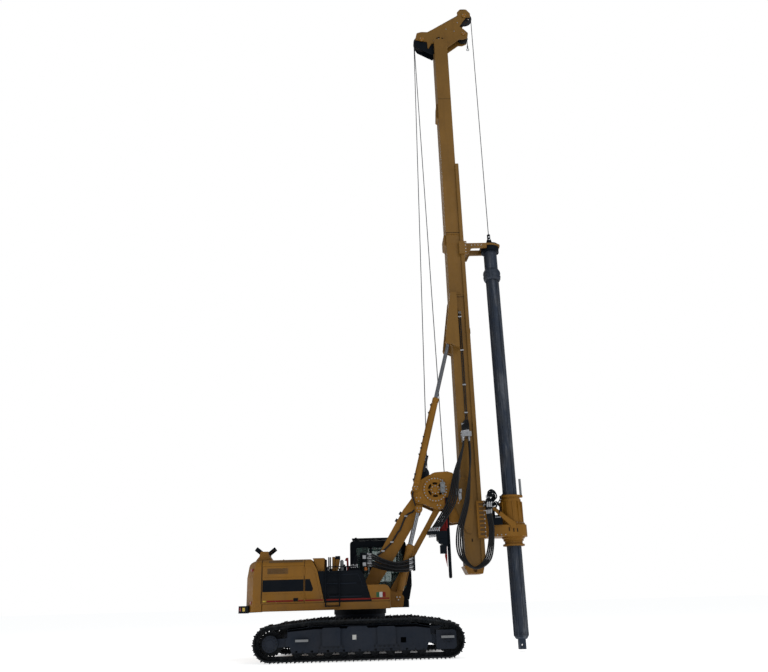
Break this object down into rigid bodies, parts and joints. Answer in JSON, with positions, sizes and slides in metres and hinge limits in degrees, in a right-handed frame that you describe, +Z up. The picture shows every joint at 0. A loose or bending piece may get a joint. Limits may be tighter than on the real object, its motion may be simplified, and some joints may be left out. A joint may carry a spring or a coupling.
{
  "type": "rotary piling rig",
  "caption": "Crawler-mounted rotary piling rig with a tall box mast, kelly bar, rotary drive, parallelogram boom, slewing upper structure and cab.",
  "frame": {"origin": "middle of the footprint on the ground under the track lugs", "axes": "+X to the front, where the mast and kelly stand; +Y to the left, the cab's side; +Z up along the mast"},
  "size_m": [8.3532, 4.3, 22.895],
  "materials": {
    "yellow_paint": "satin ochre yellow enamel, dusty",
    "black_paint": "satin black enamel",
    "frame_paint": "dark blue-grey paint, dusty",
    "track_steel": "dark worn steel with soil",
    "kelly_steel": "dark blue-grey paint, rubbed",
    "rod_chrome": "polished chrome",
    "sheave_plastic": "black cast polyamide",
    "wire_rope": "greased wire rope",
    "hose_rubber": "black hydraulic hose",
    "window_glass": "lightly tinted",
    "bare_steel": "zinc plated",
    "seat_fabric": "dark woven cover"
  },
  "bodies": {
    "chassis": {"carbody": "frame_paint", "track_frame_right": "frame_paint", "track_frame_left": "frame_paint", "track_right": "track_steel", "track_left": "track_steel", "track_wheels": "track_steel"},
    "upper": {"upper_deck": "yellow_paint", "boom_foot": "yellow_paint", "counterweight": "yellow_paint", "rear_bumper": "black_paint", "engine_house": "yellow_paint", "engine": "frame_paint", "side_tank": "black_paint", "front_box": "yellow_paint", "left_box": "yellow_paint", "valve_stack": "frame_paint", "exhaust": "black_paint", "lamps": "black_paint", "handrails": "black_paint", "cab": "black_paint", "cab_glass": "window_glass", "cab_guard": "black_paint", "seat": "seat_fabric", "hose_post": "black_paint", "deck_hoses": "hose_rubber"},
    "engine_door_right": {"engine_door_right": "yellow_paint"},
    "engine_door_left": {"engine_door_left": "yellow_paint"},
    "hood_lid": {"hood_lid": "yellow_paint"},
    "cab_door": {"cab_door": "black_paint"},
    "boom": {"boom": "yellow_paint"},
    "struts": {"struts": "yellow_paint"},
    "lift_barrels": {"lift_barrels": "yellow_paint"},
    "lift_rods": {"lift_rods": "rod_chrome"},
    "carrier": {"mast_carrier": "yellow_paint", "winch_frame": "yellow_paint", "hose_rack": "black_paint"},
    "main_winch": {"main_winch": "frame_paint"},
    "aux_winch": {"aux_winch": "frame_paint"},
    "ram_barrels": {"ram_barrels": "yellow_paint"},
    "ram_rods": {"ram_rods": "rod_chrome"},
    "mast": {"mast": "yellow_paint", "mast_foot_block": "yellow_paint", "mast_head": "yellow_paint", "main_rope": "wire_rope", "aux_rope": "wire_rope", "hose_clamp": "bare_steel", "mast_hoses": "hose_rubber", "kelly_rope": "wire_rope"},
    "rear_sheaves": {"rear_sheaves": "sheave_plastic"},
    "front_sheave": {"front_sheave": "sheave_plastic"},
    "aux_front_sheave": {"aux_front_sheave": "sheave_plastic"},
    "drive": {"sledge": "yellow_paint", "rotary_drive": "yellow_paint", "drive_motors": "black_paint", "drive_hoses": "hose_rubber"},
    "drive_sleeve": {"drive_sleeve": "yellow_paint"},
    "kelly_guide": {"kelly_guide": "yellow_paint"},
    "kelly": {"kelly_bar": "kelly_steel"}
  },
  "joints": [
    {"name": "slew", "type": "hinge", "parent": "chassis", "child": "upper", "pos_m": [-0.86, 0, 1.12], "axis": [0, 0, 1], "continuous": true},
    {"name": "engine_door_right_hinge", "type": "hinge", "parent": "upper", "child": "engine_door_right", "pos_m": [-2.334, -1.514, 1.9], "axis": [0, 0, 1], "range_deg": [0, 100]},
    {"name": "engine_door_left_hinge", "type": "hinge", "parent": "upper", "child": "engine_door_left", "pos_m": [-2.334, 1.514, 1.9], "axis": [0, 0, -1], "range_deg": [0, 100]},
    {"name": "hood_lid_hinge", "type": "hinge", "parent": "upper", "child": "hood_lid", "pos_m": [-2.254, 0, 2.6143], "axis": [0, 1, 0], "range_deg": [0, 70]},
    {"name": "cab_door_hinge", "type": "hinge", "parent": "upper", "child": "cab_door", "pos_m": [-0.631, 1.514, 2.3], "axis": [0, 0, 1], "range_deg": [0, 150]},
    {"name": "boom_lift", "type": "hinge", "parent": "upper", "child": "boom", "pos_m": [-0.61, 0, 1.78], "axis": [0, -1, 0], "range_deg": [-12, 10], "deforming": ["deck_hoses"]},
    {"name": "strut_swing", "type": "hinge", "parent": "upper", "child": "struts", "pos_m": [-0.01, 0, 1.55], "axis": [0, -1, 0], "range_deg": [-13, 11]},
    {"name": "carrier_level", "type": "hinge", "parent": "boom", "child": "carrier", "pos_m": [0.93995, 0, 4.29941], "axis": [0, -1, 0], "range_deg": [-11, 13]},
    {"name": "lift_barrel_swing", "type": "hinge", "parent": "upper", "child": "lift_barrels", "pos_m": [0.24, 0, 1.52], "axis": [0, -1, 0], "range_deg": [-13, 11]},
    {"name": "lift_rod_slide", "type": "slide", "parent": "lift_barrels", "child": "lift_rods", "axis": [0.2665, 0, 0.9638], "range_m": [-0.195, 0.164]},
    {"name": "main_winch_spin", "type": "hinge", "parent": "carrier", "child": "main_winch", "pos_m": [1.44995, 0, 4.55941], "axis": [0, 1, 0], "continuous": true},
    {"name": "aux_winch_spin", "type": "hinge", "parent": "carrier", "child": "aux_winch", "pos_m": [1.08995, 0, 5.06941], "axis": [0, 1, 0], "continuous": true},
    {"name": "mast_tilt", "type": "hinge", "parent": "carrier", "child": "mast", "pos_m": [2.12, 0, 4.2], "axis": [0, -1, 0], "range_deg": [-5, 15], "deforming": ["main_rope", "aux_rope", "mast_hoses"]},
    {"name": "ram_barrel_swing", "type": "hinge", "parent": "carrier", "child": "ram_barrels", "pos_m": [0.85995, 0, 4.59941], "axis": [0, -1, 0], "range_deg": [-6.2, 16.6]},
    {"name": "ram_rod_slide", "type": "slide", "parent": "ram_barrels", "child": "ram_rods", "axis": [0.2606, 0, 0.9654], "range_m": [-0.35, 0.123]},
    {"name": "rear_sheaves_spin", "type": "hinge", "parent": "mast", "child": "rear_sheaves", "pos_m": [1.79, 0, 21.48], "axis": [0, 1, 0], "continuous": true},
    {"name": "front_sheave_spin", "type": "hinge", "parent": "mast", "child": "front_sheave", "pos_m": [3.47, 0, 22.58], "axis": [0, 1, 0], "continuous": true},
    {"name": "aux_front_sheave_spin", "type": "hinge", "parent": "mast", "child": "aux_front_sheave", "pos_m": [3.39, 0, 21.72], "axis": [0, 1, 0], "continuous": true},
    {"name": "crowd", "type": "slide", "parent": "mast", "child": "drive", "axis": [0, 0, 1], "range_m": [-0.65, 5.4], "deforming": ["drive_hoses"]},
    {"name": "drive_sleeve_spin", "type": "hinge", "parent": "drive", "child": "drive_sleeve", "pos_m": [3.75, 0, 3.15], "axis": [0, 0, 1], "continuous": true},
    {"name": "kelly_lift", "type": "slide", "parent": "mast", "child": "kelly_guide", "axis": [0, 0, 1], "range_m": [-7, 2.8], "deforming": ["kelly_rope"]},
    {"name": "kelly_spin", "type": "hinge", "parent": "kelly_guide", "child": "kelly", "pos_m": [3.75, 0, 12.7], "axis": [0, 0, 1], "continuous": true}
  ],
  "couplings": [
    {"joint": "strut_swing", "follows": "boom_lift", "ratio": 1},
    {"joint": "carrier_level", "follows": "boom_lift", "ratio": -1},
    {"joint": "lift_barrel_swing", "follows": "boom_lift", "ratio": 1},
    {"joint": "lift_rod_slide", "follows": "boom_lift", "m_per_rad": 0.8824},
    {"joint": "ram_barrel_swing", "follows": "mast_tilt", "ratio": 1.04},
    {"joint": "ram_rod_slide", "follows": "mast_tilt", "m_per_rad": -1.3},
    {"joint": "drive_sleeve_spin", "follows": "kelly_spin", "ratio": 1}
  ]
}
